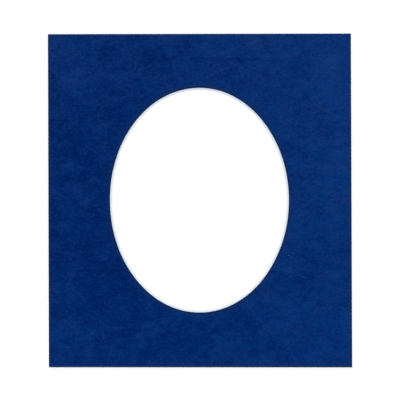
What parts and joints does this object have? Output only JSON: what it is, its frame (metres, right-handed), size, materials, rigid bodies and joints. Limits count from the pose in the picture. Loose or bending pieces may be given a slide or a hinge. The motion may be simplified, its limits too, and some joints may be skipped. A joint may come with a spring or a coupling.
{
  "type": "oval picture mount",
  "caption": "Flat picture mount of white-core board faced with royal blue suede paper, with an oval bevel-cut window that shows a picture laid behind it.",
  "frame": {"origin": "on the surface that the mount lies on, below the middle of the sheet: the centre of the bounding box's bottom face", "axes": "+X across the sheet to the viewer's right, +Y up the picture along the sheet's longer side, +Z out of the blue face"},
  "size_m": [0.2, 0.2204, 0.0017],
  "materials": {
    "blue_suede_paper": "matte",
    "white_core_board": "matte"
  },
  "bodies": {
    "root": {"core_board": "white_core_board", "suede_facing": "blue_suede_paper"}
  },
  "joints": []
}
